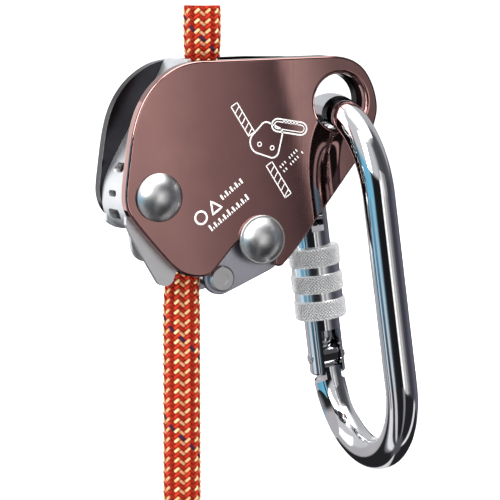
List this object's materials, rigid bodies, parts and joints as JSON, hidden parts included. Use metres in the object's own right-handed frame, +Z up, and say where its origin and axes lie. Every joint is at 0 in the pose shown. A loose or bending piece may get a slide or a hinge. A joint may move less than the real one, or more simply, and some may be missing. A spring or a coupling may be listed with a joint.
{
  "type": "rope ascender with locking carabiner",
  "caption": "Two-plate rope ascender with toothed cam, spring arm and guide roller, threaded on a rope and closed by an oval screw-lock carabiner.",
  "frame": {"origin": "on the axis of the rope, half way along its straight run above the device, which is also the middle plane of the rope space between the two side plates", "axes": "+Z up along the rope, +X across the side plates from the folded shell towards the attachment ear, -Y towards the front plate"},
  "size_m": [0.0904, 0.0631, 0.15],
  "materials": {
    "bronze_plate": "satin anodised, brown bronze",
    "black_plate": "gloss black anodised",
    "shell_steel": "polished stainless sheet",
    "rivet_steel": "turned stainless",
    "satin_steel": "satin stainless",
    "cam_steel": "cast and hardened",
    "bush_bronze": "sintered bronze",
    "spring_steel": "drawn wire",
    "plated_steel": "bright zinc plated and polished",
    "sleeve_steel": "knurled, bright plated",
    "rope_sheath": "braided polyamide, orange red with cream flecks",
    "rope_core": "twisted white polyamide"
  },
  "bodies": {
    "frame": {"rear_side_plate": "black_plate", "cam_axle": "rivet_steel", "arm_axle": "rivet_steel", "rivet_washers": "rivet_steel", "rope_sheath": "rope_sheath", "rope_core": "rope_core"},
    "front_plate": {"front_side_plate": "bronze_plate"},
    "shell": {"rope_shell": "shell_steel"},
    "cam": {"rope_cam": "cam_steel", "cam_bush": "bush_bronze", "cam_spring": "spring_steel"},
    "arm": {"arm_cheek_front": "satin_steel", "arm_cheek_rear": "satin_steel", "pressure_block": "cam_steel", "block_bush": "bush_bronze", "arm_rivets": "rivet_steel", "guide_pin": "rivet_steel", "block_spring": "spring_steel"},
    "roller": {"guide_roller": "rivet_steel"},
    "carabiner": {"carabiner_body": "plated_steel", "gate_hinge_pin": "plated_steel"},
    "gate": {"gate_tube": "plated_steel", "gate_nose_pin": "plated_steel", "gate_spring": "spring_steel"},
    "plunger": {"gate_plunger": "spring_steel"},
    "sleeve": {"screw_sleeve": "sleeve_steel"}
  },
  "joints": [
    {"name": "front_plate_play", "type": "hinge", "parent": "frame", "child": "front_plate", "pos_m": [-0.0194, 0, -0.0493], "axis": [0, 1, 0], "range_deg": [0, 1]},
    {"name": "shell_tilt", "type": "hinge", "parent": "frame", "child": "shell", "pos_m": [-0.0194, 0, -0.0493], "axis": [0, 1, 0], "range_deg": [-10, 0]},
    {"name": "cam_pivot", "type": "hinge", "parent": "frame", "child": "cam", "pos_m": [-0.0194, 0, -0.0493], "axis": [0, 1, 0], "range_deg": [0, 28], "deforming": ["cam_spring"]},
    {"name": "arm_pivot", "type": "hinge", "parent": "frame", "child": "arm", "pos_m": [0.014, 0, -0.0631], "axis": [0, 1, 0], "range_deg": [-16, 0], "deforming": ["block_spring"]},
    {"name": "guide_roller_spin", "type": "hinge", "parent": "arm", "child": "roller", "pos_m": [0.0021, 0, -0.0746], "axis": [0, 1, 0], "continuous": true},
    {"name": "carabiner_swing", "type": "hinge", "parent": "frame", "child": "carabiner", "pos_m": [0.041, -0.005, -0.02475], "axis": [0, 1, 0], "range_deg": [-95, 12]},
    {"name": "gate_hinge", "type": "hinge", "parent": "carabiner", "child": "gate", "pos_m": [0.05173, 0.02, -0.10413], "axis": [0.991, 0, 0.134], "range_deg": [0, 25]},
    {"name": "plunger_slide", "type": "slide", "parent": "gate", "child": "plunger", "axis": [-0.134, 0, 0.991], "range_m": [0, 0.0012], "deforming": ["gate_spring"]},
    {"name": "sleeve_lock", "type": "slide", "parent": "gate", "child": "sleeve", "axis": [0.134, 0, -0.991], "range_m": [-0.0157, 0]}
  ],
  "couplings": [
    {"joint": "plunger_slide", "follows": "gate_hinge", "m_per_rad": 0.0025}
  ]
}
